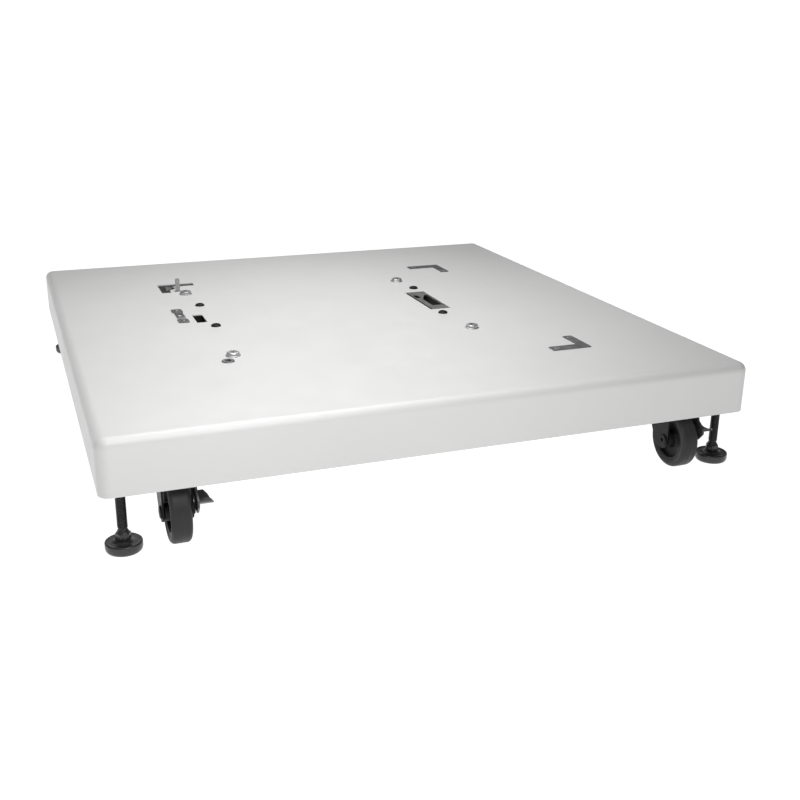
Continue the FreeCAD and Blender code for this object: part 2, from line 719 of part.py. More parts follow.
def make_latch():
    """The latch pan under its opening, and the slide that runs in it from front to back."""
    middle_x = "(latch_left + latch_right) / 2 + latch_slide_offset"
    pan_front = "latch_front - 10"
    pan_rear = "latch_rear + 9"
    low = f"{UNDERSIDE} - latch_pan_depth"
    body = new_body("latch_pan", "0", "0", low)
    flange_left = "latch_left - 4.3"
    flange_right = "latch_right + 4.3"
    block = new_sketch(body, "XY_Plane")
    rectangle(block, "latch_left - 2.5", "latch_right + 2.5", pan_front, pan_rear)
    pad(body, block, "latch_pan_depth")
    flanges = new_sketch(body, "XY_Plane", "latch_pan_depth - backing_sheet")
    rectangle(flanges, flange_left, flange_right, f"{pan_front} - 22", f"{pan_front} + 1")
    rectangle(flanges, flange_left, flange_right, f"{pan_rear} - 1", f"{pan_rear} + 23")
    pad(body, flanges, "backing_sheet")
    well = new_sketch(body, "XY_Plane", "latch_pan_depth")
    rectangle(well, "latch_left - 0.7", "latch_right + 0.7", f"{pan_front} + 1.8", f"{pan_rear} - 1.8")
    pocket(body, well, "latch_pan_depth - 1.8")
    holes = new_sketch(body, "XY_Plane", "latch_pan_depth")
    circle(holes, "latch_screw_front_x", "latch_screw_front_y", "bolt_hole_radius")
    circle(holes, "latch_screw_rear_x", "latch_screw_rear_y", "bolt_hole_radius")
    pocket(body, holes, "backing_sheet")
    keep(body, "latch_pan")

    steel = "latch_slide_sheet"
    slide = new_body("latch_slide", middle_x, "latch_front + 2.5", f"top_height - latch_slide_drop - {steel}")
    half = "latch_slide_width / 2"
    plate = new_sketch(slide, "XY_Plane")
    rectangle(plate, f"-({half})", half, "0", "latch_slide_length")
    pad(slide, plate, steel)
    round_edges(slide, "1.5", lambda edge: is_along(edge, 2))
    opening = new_sketch(slide, "XY_Plane", steel)
    outline(
        opening,
        [("-4.4", "17.5"), ("11.2", "17.5"), ("11.2", "77"), ("7.4", "77"), ("-4.4", "52.5")],
    )
    pocket(slide, opening, steel)
    round_edges(
        slide,
        "1.5",
        lambda edge: is_along(edge, 2) and abs(edge.Vertexes[0].X) < 11.5 and 17 < edge.Vertexes[0].Y < 78,
    )
    finger_hole = new_sketch(slide, "XY_Plane", steel)
    outline(
        finger_hole,
        [("-10", "62"), ("-6", "59.5"), ("-3.6", "61.5"), ("-3.6", "73"), ("-7", "77.5"), ("-10", "75")],
    )
    pocket(slide, finger_hole, steel)
    runners = new_sketch(slide, "XY_Plane", "0.5")
    for way in (-1, 1):
        inner, outer = sorted((f"{way} * ({half})", f"{way} * ({half} - {steel})"), key=value)
        rectangle(runners, inner, outer, "4", "latch_slide_length - 4")
    floor = f"{UNDERSIDE} - latch_pan_depth + 1.8 + end_gap"
    pad(slide, runners, f"top_height - latch_slide_drop - {steel} + 0.5 - ({floor})", reverse=True)
    keep(slide, "latch_slide")


def make_clip():
    """A spring clip: a strip on the tray that is bridged between its two riveted pads."""
    body = new_body("spring_clip", "clip_x", "0", "top_height")
    sketch = new_sketch(body, "YZ_Plane", "-clip_width / 2")
    slope = "4"
    front = "clip_front + clip_pad"
    rear = "clip_rear - clip_pad"
    outline(
        sketch,
        [
            ("clip_front", "0"),
            (front, "0"),
            (f"{front} + {slope}", "clip_rise"),
            (f"{rear} - {slope}", "clip_rise"),
            (rear, "0"),
            ("clip_rear", "0"),
            ("clip_rear", "clip_sheet"),
            (f"{rear} + 0.4", "clip_sheet"),
            (f"{rear} - {slope} + 0.4", "clip_rise + clip_sheet"),
            (f"{front} + {slope} - 0.4", "clip_rise + clip_sheet"),
            (f"{front} - 0.4", "clip_sheet"),
            ("clip_front", "clip_sheet"),
        ],
    )
    pad(body, sketch, "clip_width")
    ends = (value("clip_front"), value("clip_rear"))
    round_edges(
        body, "3", lambda edge: is_along(edge, 2) and min(abs(edge.Vertexes[0].Y - end) for end in ends) < 0.1
    )
    holes = new_sketch(body, "XY_Plane", "clip_sheet")
    for y in clip_rivet_places():
        circle(holes, "0", y, "1.6")
    pocket(body, holes, "clip_sheet")
    sides = new_sketch(body, "XY_Plane", "clip_rise + clip_sheet")
    for way in (-1, 1):
        inner, outer = sorted((f"{way} * clip_waist / 2", f"{way} * (clip_width / 2 + 1)"), key=value)
        rectangle(sides, inner, outer, front, rear)
    pocket(body, sides, "clip_rise + clip_sheet")
    window = new_sketch(body, "XY_Plane", "clip_rise + clip_sheet")
    middle = "(clip_front + clip_rear) / 2"
    half = "clip_window_width / 2"
    ends = "clip_window_length / 2"
    rectangle(window, f"-{half}", half, f"{middle} - {ends}", f"{middle} + {ends}")
    pocket(body, window, "clip_rise + clip_sheet")
    keep(body, "spring_clip")

    rivet = new_body("clip_rivet_master")
    profile = new_sketch(rivet, "XZ_Plane")
    outline(
        profile,
        [
            ("0", "-4.5"),
            ("2.8", "-4.5"),
            ("2.8", "-tray_sheet - 1"),
            ("1.6", "-tray_sheet - 1"),
            ("1.6", "0"),
            ("3.4", "0"),
            ("3", "0.9"),
            ("1.6", "1.5"),
            ("0", "1.7"),
        ],
    )
    revolve(rivet, profile)
    height = value("top_height + clip_sheet")
    group("clip_rivets", rivet, [(value("clip_x"), value(y), height) for y in clip_rivet_places()])


def make_insert():
    """A flush threaded insert, for a tether or a side panel."""
    body = new_body("threaded_insert", "insert_x", "insert_y", "top_height")
    sketch = new_sketch(body, "XZ_Plane")
    barrel = "insert_bore_radius + 1.6"
    outline(
        sketch,
        [
            ("insert_bore_radius", "-insert_length"),
            (barrel, "-insert_length"),
            (barrel, "0"),
            ("insert_flange_radius", "0"),
            ("insert_flange_radius - 0.6", "insert_flange_height"),
            ("insert_bore_radius", "insert_flange_height"),
        ],
    )
    revolve(body, sketch)
    keep(body, "threaded_insert")


# ---------------------------------------------------------------- underframe


def make_channels():
    """Four hat channels spot-welded under the tray's top, open at their ends."""
    half = "channel_width / 2"
    foot = f"{half} + channel_flange"
    profile = [
        (f"-({foot})", "0"),
        (f"-({half}) + channel_sheet", "0"),
        (f"-({half}) + channel_sheet", "channel_sheet - channel_height"),
        (f"{half} - channel_sheet", "channel_sheet - channel_height"),
        (f"{half} - channel_sheet", "0"),
        (foot, "0"),
        (foot, "-channel_sheet"),
        (half, "-channel_sheet"),
        (half, "-channel_height"),
        (f"-({half})", "-channel_height"),
        (f"-({half})", "-channel_sheet"),
        (f"-({foot})", "-channel_sheet"),
    ]
    for name, way in (("left", -1), ("right", 1)):
        body = new_body(f"side_channel_{name}", f"{way} * side_channel_x", "0", UNDERSIDE)
        sketch = new_sketch(body, "XZ_Plane", "-side_channel_reach")
        outline(sketch, profile)
        pad(body, sketch, "2 * side_channel_reach")
        keep(body, body.Name)
    for name, way in (("front", -1), ("rear", 1)):
        body = new_body(f"end_channel_{name}", "0", f"{way} * end_channel_y", UNDERSIDE)
        sketch = new_sketch(body, "YZ_Plane", "-end_channel_reach")
        outline(sketch, profile)
        pad(body, sketch, "2 * end_channel_reach")
        keep(body, body.Name)


def bolt_offsets():
    """A caster's four bolt holes about its kingpin."""
    half = "caster_bolt_spacing / 2"
    return [(f"{a} * {half}", f"{b} * {half}") for a in (-1, 1) for b in (-1, 1)]


def make_corner_bracket(name, across, along):
    """A folded bracket from the tray's top down to the caster's seat, up against the skirt."""
    body = new_body(f"corner_bracket_{name}")
    steel = "backing_sheet"
    skirt = "tray_depth / 2 - tray_sheet"
    profile = [
        ("bracket_inner_y - bracket_flange", f"{UNDERSIDE} - {steel}"),
        ("bracket_inner_y", f"{UNDERSIDE} - {steel}"),
        ("bracket_inner_y", "bracket_seat"),
        (skirt, "bracket_seat"),
        (skirt, "bracket_seat + bracket_upstand"),
        (f"{skirt} - {steel}", "bracket_seat + bracket_upstand"),
        (f"{skirt} - {steel}", f"bracket_seat + {steel}"),
        (f"bracket_inner_y + {steel}", f"bracket_seat + {steel}"),
        (f"bracket_inner_y + {steel}", UNDERSIDE),
        ("bracket_inner_y - bracket_flange", UNDERSIDE),
    ]
    start = "bracket_inner_x" if across > 0 else "-bracket_outer_x"
    sketch = new_sketch(body, "YZ_Plane", start)
    outline(sketch, [(f"{along} * ({y})", z) for y, z in profile])
    pad(body, sketch, "bracket_outer_x - bracket_inner_x")
    holes = new_sketch(body, "XY_Plane", f"bracket_seat + {steel}")
    for x, y in bolt_offsets():
        circle(holes, f"{across} * kingpin_x + {x}", f"{along} * kingpin_y + {y}", "bolt_hole_radius")
    circle(holes, f"{across} * foot_x", f"{along} * foot_y", "foot_hole_radius")
    pocket(body, holes, steel)
    keep(body, body.Name)


def corner_places(x, y, height, offsets=(("0", "0"),)):
    """Points around each corner's (x, y), at one height."""
    places = []
    for _, across, along in CORNERS:
        for a, b in offsets:
            places.append((value(f"{across} * {x} + {a}"), value(f"{along} * {y} + {b}"), value(height)))
    return places


def make_caster_fasteners():
    """The casters' bolts, every M6 nut, and the weld nuts that the feet turn in."""
    body = new_body("caster_bolt_master")
    head = new_sketch(body, "XY_Plane")
    hexagon(head, "10")
    pad(body, head, "4", reverse=True)
    shank = new_sketch(body, "XY_Plane")
    circle(shank, "0", "0", "caster_bolt_radius")
    pad(body, shank, "13")
    plate_low = "bracket_seat - caster_plate_sheet"
    group("caster_bolts", body, corner_places("kingpin_x", "kingpin_y", plate_low, bolt_offsets()))
    nut = hex_nut("bolt_nut_master", "bolt_nut_flats", "bolt_nut_height", "caster_bolt_radius")
    on_bracket = "bracket_seat + backing_sheet"
    places = corner_places("kingpin_x", "kingpin_y", on_bracket, bolt_offsets())
    under_tray = value(f"{UNDERSIDE} - bolt_nut_height")
    places += [(value(x), value(y), under_tray) for x, y in stud_places()]
    under_plate = value(f"{UNDERSIDE} - backing_sheet - bolt_nut_height")
    places += [(value(x), value(y), under_plate) for x, y in screw_places()]
    group("bolt_nuts", nut, places)
    foot_nut = hex_nut("foot_nut_master", "foot_nut_flats", "foot_nut_height", "stem_radius + running_gap")
    group("foot_nuts", foot_nut, corner_places("foot_x", "foot_y", on_bracket))


# ---------------------------------------------------------------- casters

PLATE_LOW = "bracket_seat - caster_plate_sheet"
BALL_HEIGHT = f"{PLATE_LOW} - ball_radius - running_gap"
RACE_TOP = f"{BALL_HEIGHT} - ball_radius - 2 * running_gap"
CROWN_TOP = f"{RACE_TOP} - 2.5"
CROWN_LOW = f"{CROWN_TOP} - fork_crown_thickness"


def make_swivel_parts():
    """The kingpins and the swivel balls, held by the caster plates."""
    body = new_body("kingpin_master")
    sketch = new_sketch(body, "XZ_Plane")
    head_top = f"{CROWN_LOW} - end_gap"
    head_low = f"{head_top} - kingpin_head_height"
    outline(
        sketch,
        [
            ("0", head_low),
            ("kingpin_head_radius - 2.5", head_low),
            ("kingpin_head_radius", f"{head_low} + 1.6"),
            ("kingpin_head_radius", head_top),
            ("kingpin_radius", head_top),
            ("kingpin_radius", "bracket_seat"),
            ("0", "bracket_seat"),
        ],
    )
    revolve(body, sketch)
    group("kingpins", body, corner_places("kingpin_x", "kingpin_y", "0"))

    ball = doc.addObject("Part::Sphere", "ball_master")
    bind(ball, Radius="ball_radius")
    doc.recompute()
    turns = [math.tau * step / BALLS_PER_SWIVEL for step in range(BALLS_PER_SWIVEL)]
    directions = [(math.cos(turn), math.sin(turn)) for turn in turns]
    ring = [(f"ball_circle_radius * {a:.9f}", f"ball_circle_radius * {b:.9f}") for a, b in directions]
    group("swivel_balls", ball, corner_places("kingpin_x", "kingpin_y", BALL_HEIGHT, ring))


def make_caster_plate(name, x, y):
    """The caster's top plate, with the dust cup around its balls."""
    body = new_body(f"caster_plate_{name}", x, y, PLATE_LOW)
    half = "caster_plate_side / 2"
    plate = new_sketch(body, "XY_Plane")
    rectangle(plate, f"-{half}", half, f"-{half}", half)
    pad(body, plate, "caster_plate_sheet")
    round_edges(body, "6", lambda edge: is_along(edge, 2))
    cup = new_sketch(body, "XY_Plane")
    circle(cup, "0", "0", "cup_radius")
    circle(cup, "0", "0", "cup_radius - cup_wall")
    pad(body, cup, "cup_depth", reverse=True)
    holes = new_sketch(body, "XY_Plane", "caster_plate_sheet")
    circle(holes, "0", "0", "kingpin_radius")
    for a, b in bolt_offsets():
        circle(holes, a, b, "bolt_hole_radius")
    pocket(body, holes, "caster_plate_sheet")
    keep(body, body.Name)


def make_fork(name, x, y):
    """The swivelling fork: two tapered legs that flare up to a crown with a ball race."""
    body = new_body(f"fork_{name}", x, y)
    axle_y = "-caster_trail"
    outside = "fork_flare_half + fork_sheet"
    foot_middle = f"{axle_y} + fork_foot_radius - fork_front"
    side = new_sketch(body, "YZ_Plane", f"-({outside})")
    outline(
        side,
        [
            (f"{axle_y} - fork_front", CROWN_LOW),
            (f"{axle_y} - fork_front", "axle_height - fork_foot_radius"),
            (f"{foot_middle} + fork_foot_radius * 0.97", "axle_height - fork_foot_radius"),
            ("fork_back", f"{CROWN_LOW} - 2"),
            ("fork_back", CROWN_LOW),
        ],
    )
    pad(body, side, f"2 * ({outside})")
    low = value("axle_height")
    round_edges(body, "fork_foot_radius * 0.93", lambda edge: is_along(edge, 0) and edge.BoundBox.ZMax < low)

    inside = new_sketch(body, "XZ_Plane", f"fork_front - ({axle_y}) + 1")
    far = "axle_height - 40"
    outline(
        inside,
        [
            ("-fork_gap_half", far),
            ("fork_gap_half", far),
            ("fork_gap_half", "fork_flare_height"),
            ("fork_flare_half", CROWN_LOW),
            ("-fork_flare_half", CROWN_LOW),
            ("-fork_gap_half", "fork_flare_height"),
        ],
    )
    for way in (-1, 1):
        corners = [
            ("fork_gap_half + fork_sheet", far),
            (f"{outside} + 5", far),
            (f"{outside} + 5", CROWN_LOW),
            (outside, CROWN_LOW),
            ("fork_gap_half + fork_sheet", "fork_flare_height"),
        ]
        outline(inside, [(f"{way} * ({a})", b) for a, b in corners])
    pocket(body, inside, f"fork_front - ({axle_y}) + fork_back + 2")

    crown = new_sketch(body, "XY_Plane", CROWN_LOW)
    circle(crown, "0", "0", "fork_crown_radius")
    pad(body, crown, "fork_crown_thickness")
    shoulders = new_sketch(body, "XY_Plane", CROWN_LOW)
    rectangle(shoulders, f"-({outside})", outside, f"{axle_y} - fork_front", "fork_back")
    pad(body, shoulders, "fork_crown_thickness")
    race = new_sketch(body, "XY_Plane", f"{CROWN_TOP} - 0.5")
    circle(race, "0", "0", "race_radius")
    pad(body, race, f"{RACE_TOP} - ({CROWN_TOP}) + 0.5")
    bore = new_sketch(body, "XY_Plane", RACE_TOP)
    circle(bore, "0", "0", "kingpin_radius + running_gap")
    pocket(body, bore, f"{RACE_TOP} - ({CROWN_LOW})")

    holes = new_sketch(body, "YZ_Plane", outside)
    circle(holes, axle_y, "axle_height", "axle_radius")
    pocket(body, holes, f"2 * ({outside})")
    if name in BRAKED:
        pivot = new_sketch(body, "YZ_Plane", outside)
        circle(pivot, f"{axle_y} + lever_pivot_back", "lever_pivot_height", "lever_pin_radius")
        pocket(body, pivot, outside)
    keep(body, body.Name)


def make_axle(name, x, y):
    """A hollow axle rivet, headed against both legs."""
    body = new_body(f"axle_{name}", x, y, "axle_height")
    sketch = new_sketch(body, "XZ_Plane")
    leg = "fork_gap_half + fork_sheet"
    head = f"{leg} + axle_head_height"
    half = [
        ("axle_bore_radius", head),
        ("axle_head_radius - 1", head),
        ("axle_head_radius", f"{head} - 0.9"),
        ("axle_head_radius", leg),
        ("axle_radius", leg),
    ]
    corners = [(f"-({across})", up) for up, across in half]
    corners += [(across, up) for up, across in reversed(half)]
    outline(sketch, corners)
    revolve(body, sketch, "H_Axis")
    keep(body, body.Name)


def make_wheel(name, x, y):
    """The wheel's hard core, with a plain dished web, and the tyre around it."""
    core = new_body(f"wheel_core_{name}", x, y, "axle_height")
    profile = new_sketch(core, "XZ_Plane")
    bore = "axle_radius + running_gap"
    half = [
        ("hub_half_width", bore),
        ("hub_half_width", "hub_radius - 1.2"),
        ("hub_half_width - 1.2", "hub_radius"),
        ("web_half_width", "hub_radius"),
        ("web_half_width", "rim_inner_radius"),
        ("rim_half_width", "rim_inner_radius"),
        ("rim_half_width", "tyre_seat_radius"),
    ]
    outline(profile, half + [(f"-({across})", up) for across, up in reversed(half)])
    revolve(core, profile, "H_Axis")
    keep(core, core.Name)

    tyre = new_body(f"tyre_{name}", x, y, "axle_height")
    section = new_sketch(tyre, "XZ_Plane")
    half = [
        ("rim_half_width", "tyre_seat_radius"),
        ("tyre_half_width", "tyre_seat_radius + 1.4"),
        ("tyre_half_width", "wheel_radius"),
    ]
    outline(section, half + [(f"-{across}", up) for across, up in reversed(half)])
    revolve(tyre, section, "H_Axis")
    widest = value("2 * wheel_radius") - 0.01
    round_edges(tyre, "tyre_round", lambda edge: edge.BoundBox.ZLength > widest)
    keep(tyre, tyre.Name)


def make_brake(name, x, y):
    """The side brake: a lever with a pedal outside and a shoe over the tyre, and its pivot."""
    body = new_body(f"brake_lever_{name}", x, y)
    steel = "lever_sheet"
    plate = new_sketch(body, "YZ_Plane", "lever_inner_x")
    outline(
        plate,
        [
            ("-8.5", "66.6"),
            ("-17", "63.4"),
            ("-18.5", "58"),
            ("-28", "51.5"),
            ("-28.5", "45"),
            ("-20", "35.5"),
            ("-11", "38"),
            ("-4", "45.5"),
            ("9", "46.5"),
            ("12.5", "51"),
            ("11", "57"),
            ("-8.5", "57.4"),
        ],
    )
    pad(body, plate, steel)
    round_edges(body, "1.6", lambda edge: is_along(edge, 0) and edge.Vertexes[0].Y > -28.7)

    pedal = new_sketch(body, "YZ_Plane", "lever_inner_x")
    treads = [(-28.2, 50.6), (-24.0, 47.2), (-18.0, 45.4), (-11.5, 45.8), (-6.5, 48.0), (-3.0, 51.0)]
    top = [(f"{a}", f"{b} + 0.9") for a, b in treads]
    bottom = [(f"{a}", f"{b} - 0.9") for a, b in reversed(treads)]
    outline(pedal, top + bottom)
    pad(body, pedal, "pedal_reach - lever_inner_x")
    trim = new_sketch(body, "XY_Plane", "60")
    side = "pedal_reach + 5"
    rear_corner = [("pedal_reach - 9", "0"), ("pedal_reach - 3", "-6.5"), ("pedal_reach", "-17")]
    front_corner = [("pedal_reach", "-24"), ("pedal_reach - 3", "-27.5"), ("pedal_reach - 9", "-30")]
    outline(trim, rear_corner + [(side, "-17"), (side, "0")])
    outline(trim, front_corner + [(side, "-30"), (side, "-24")])
    pocket(body, trim, "20")

    shoe = new_sketch(body, "YZ_Plane", "-8.5")
    outline(shoe, [("-12.8", "64.6"), ("-8.4", "66.2"), ("-8.8", "67.8"), ("-13.3", "66.2")])
    pad(body, shoe, f"8.5 + lever_inner_x + {steel}")

    hole = new_sketch(body, "YZ_Plane", f"lever_inner_x + {steel}")
    circle(hole, "lever_pivot_back", "lever_pivot_height", "lever_pin_radius + running_gap")
    pocket(body, hole, steel)
    keep(body, body.Name)

    pin = new_body(f"brake_pivot_{name}", x, f"{y} + lever_pivot_back", "lever_pivot_height")
    profile = new_sketch(pin, "XZ_Plane")
    head = f"lever_inner_x + {steel} + end_gap"
    outline(
        profile,
        [
            ("fork_gap_half", "0"),
            (f"{head} + 1.6", "0"),
            (f"{head} + 1.4", "lever_pin_head_radius * 0.5"),
            (f"{head} + 0.5", "lever_pin_head_radius"),
            (head, "lever_pin_head_radius"),
            (head, "lever_pin_radius"),
            ("fork_gap_half", "lever_pin_radius"),
        ],
    )
    revolve(pin, profile, "H_Axis")
    keep(pin, pin.Name)


def make_casters():
    for name, across, along in CORNERS:
        x = f"{across} * kingpin_x"
        y = f"{along} * kingpin_y"
        wheel_y = f"{y} - caster_trail"
        make_caster_plate(name, x, y)
        make_fork(name, x, y)
        make_axle(name, x, wheel_y)
        make_wheel(name, x, wheel_y)
        if name in BRAKED:
            make_brake(name, x, wheel_y)


# ---------------------------------------------------------------- levelling feet


def make_foot(name, x, y):
    """A levelling foot: a pad on the floor, and a stem that turns in the pad and in the weld nut."""
    base = new_body(f"foot_pad_{name}", x, y)
    sketch = new_sketch(base, "XZ_Plane")
    boss_top = "pad_height + pad_crown"
    outline(
        sketch,
        [
            ("0", "0"),
            ("pad_radius - 3", "0"),
            ("pad_radius - 0.8", "1.4"),
            ("pad_radius", "3.4"),
            ("pad_radius", "pad_height - 0.8"),
            ("pad_radius - 0.8", "pad_height"),
            ("stem_collar_flats * 0.75", "pad_height"),
            ("stem_collar_flats * 0.62", boss_top),
            ("stem_radius + running_gap", boss_top),
            ("stem_radius + running_gap", f"{boss_top} - socket_depth"),
            ("0", f"{boss_top} - socket_depth"),
        ],
    )
    revolve(base, sketch)
    keep(base, base.Name)

    stem = new_body(f"foot_stem_{name}", x, y)
    profile = new_sketch(stem, "XZ_Plane")
    collar_low = f"{boss_top} + end_gap"
    collar_top = f"{collar_low} + stem_collar_height"
    outline(
        profile,
        [
            ("0", f"{boss_top} - socket_depth + end_gap"),
            ("stem_radius", f"{boss_top} - socket_depth + end_gap"),
            ("stem_radius", f"{collar_top} - 1"),
            ("stem_collar_flats / 2", f"{collar_top} - 1"),
            ("stem_collar_flats / 2", collar_top),
            ("stem_radius", f"{collar_top} + stem_flare"),
            ("stem_radius", "stem_top - 1"),
            ("stem_radius - 1", "stem_top"),
            ("0", "stem_top"),
        ],
    )
    revolve(stem, profile)
    collar = new_sketch(stem, "XY_Plane", collar_low)
    hexagon(collar, "stem_collar_flats")
    pad(stem, collar, "stem_collar_height")
    keep(stem, stem.Name)


def write_parts():
    """Checks every object and writes each sub-part to a file of its own."""
    doc.recompute()
    broken = [thing.Label for thing in doc.Objects if {"Invalid", "Error"} & set(thing.State)]
    if broken:
        raise ValueError(f"these objects failed: {broken}")
    os.makedirs("parts", exist_ok=True)
    for thing in subparts:
        if thing.Shape.isNull() or not thing.Shape.isValid():
            raise ValueError(f"{thing.Label} has no valid shape")
    for thing in subparts:
        thing.Shape.exportStep(f"parts/{thing.Label}.step")


make_tray()
make_locators()
make_locator_pad()
make_locator_nuts()
make_studs()
make_backing_screws()
make_hook_keeper()
make_latch()
make_clip()
make_insert()
make_channels()
for corner, right_way, rear_way in CORNERS:
    make_corner_bracket(corner, right_way, rear_way)
make_caster_fasteners()
make_swivel_parts()
make_casters()
for corner, right_way, rear_way in CORNERS:
    make_foot(corner, f"{right_way} * foot_x", f"{rear_way} * foot_y")
write_parts()
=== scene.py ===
"""Looks of the mobile printer stand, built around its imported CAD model. Metres."""

import json
import math

import bmesh
import bpy
from mathutils import Matrix, Vector


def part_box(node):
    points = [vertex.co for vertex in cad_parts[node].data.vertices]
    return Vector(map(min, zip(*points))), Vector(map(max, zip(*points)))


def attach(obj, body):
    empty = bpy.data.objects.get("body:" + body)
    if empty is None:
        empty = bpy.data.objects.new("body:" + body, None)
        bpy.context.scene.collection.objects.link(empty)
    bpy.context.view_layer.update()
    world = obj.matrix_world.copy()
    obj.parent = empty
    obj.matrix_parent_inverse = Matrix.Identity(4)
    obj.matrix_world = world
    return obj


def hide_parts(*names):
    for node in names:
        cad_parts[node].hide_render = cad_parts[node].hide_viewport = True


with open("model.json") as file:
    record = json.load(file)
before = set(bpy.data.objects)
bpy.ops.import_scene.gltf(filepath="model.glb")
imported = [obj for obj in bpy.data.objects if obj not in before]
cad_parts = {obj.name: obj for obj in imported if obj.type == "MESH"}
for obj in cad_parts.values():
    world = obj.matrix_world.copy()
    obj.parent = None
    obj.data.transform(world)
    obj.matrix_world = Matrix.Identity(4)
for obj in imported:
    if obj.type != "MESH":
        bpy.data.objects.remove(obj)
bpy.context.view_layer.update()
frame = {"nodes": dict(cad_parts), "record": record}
MM = 0.001
CORNERS = ("front_left", "front_right", "rear_left", "rear_right")


# ---------------------------------------------------------------- materials

NOISE_ROUGHNESS = 0.55
NOISE_MIDDLE = (0.3, 0.7)
PATCH_DETAIL = 5.0
GRAIN_DETAIL = 3.0
WEAR_DETAIL = 6.0
WEAR_PER_PATCH = 7
COAT_ROUGHNESS = 0.25
BEVEL_SAMPLES = 4
EDGE_RADIUS = 0.0004
GRAIN_DEPTH = 0.0004


def node_tree(name):
    """A new node-based material, its tree and its shader."""
    material = bpy.data.materials.new(name)
    material.use_nodes = True
    tree = material.node_tree
    shader = tree.nodes["Principled BSDF"]
    return material, tree, shader


def noise(tree, scale, detail, stretch=None):
    """A noise in the object's own coordinates; scale is in features per metre."""
    place = tree.nodes.new("ShaderNodeTexCoord")
    texture = tree.nodes.new("ShaderNodeTexNoise")
    texture.inputs["Scale"].default_value = scale
    texture.inputs["Detail"].default_value = detail
    texture.inputs["Roughness"].default_value = NOISE_ROUGHNESS
    source = place.outputs["Object"]
    if stretch:
        mapping = tree.nodes.new("ShaderNodeMapping")
        mapping.inputs["Scale"].default_value = stretch
        tree.links.new(source, mapping.inputs["Vector"])
        source = mapping.outputs["Vector"]
    tree.links.new(source, texture.inputs["Vector"])
    return texture.outputs["Fac"]


def spread(tree, source, low, high):
    """Maps a noise's middle range to low..high."""
    ramp = tree.nodes.new("ShaderNodeMapRange")
    ramp.inputs["From Min"].default_value = NOISE_MIDDLE[0]
    ramp.inputs["From Max"].default_value = NOISE_MIDDLE[1]
    ramp.inputs["To Min"].default_value = low
    ramp.inputs["To Max"].default_value = high
    tree.links.new(source, ramp.inputs["Value"])
    return ramp.outputs["Result"]


def blend_colours(tree, fraction, first, second):
    """Mixes two colours by a fraction that changes over the surface."""
    mix = tree.nodes.new("ShaderNodeMix")
    mix.data_type = "RGBA"
    mix.inputs["A"].default_value = (*first, 1)
    mix.inputs["B"].default_value = (*second, 1)
    tree.links.new(fraction, mix.inputs["Factor"])
    return mix.outputs["Result"]


def surface(
    name,
    dark,
    light,
    rough,
    metal=0.0,
    patch=12.0,
    grain=900.0,
    relief=0.05,
    stretch=None,
    coat=0.0,
    gloss=0.5,
):
    """A finish whose colour and gloss vary over patches, with a fine grain and softened edges."""
    material, tree, shader = node_tree(name)
    shader.inputs["Metallic"].default_value = metal
    shader.inputs["Specular IOR Level"].default_value = gloss
    shader.inputs["Coat Weight"].default_value = coat
    shader.inputs["Coat Roughness"].default_value = COAT_ROUGHNESS
    patches = noise(tree, patch, PATCH_DETAIL)
    colour = blend_colours(tree, spread(tree, patches, 0.0, 1.0), dark, light)
    tree.links.new(colour, shader.inputs["Base Color"])
    grains = noise(tree, grain, GRAIN_DETAIL, stretch=stretch)
    wear = noise(tree, patch * WEAR_PER_PATCH, WEAR_DETAIL)
    tree.links.new(spread(tree, wear, rough[0], rough[1]), shader.inputs["Roughness"])
    bevel = tree.nodes.new("ShaderNodeBevel")
    bevel.samples = BEVEL_SAMPLES
    bevel.inputs["Radius"].default_value = EDGE_RADIUS
    bump = tree.nodes.new("ShaderNodeBump")
    bump.inputs["Strength"].default_value = relief
    bump.inputs["Distance"].default_value = GRAIN_DEPTH
    tree.links.new(grains, bump.inputs["Height"])
    tree.links.new(bevel.outputs["Normal"], bump.inputs["Normal"])
    tree.links.new(bump.outputs["Normal"], shader.inputs["Normal"])
    return material


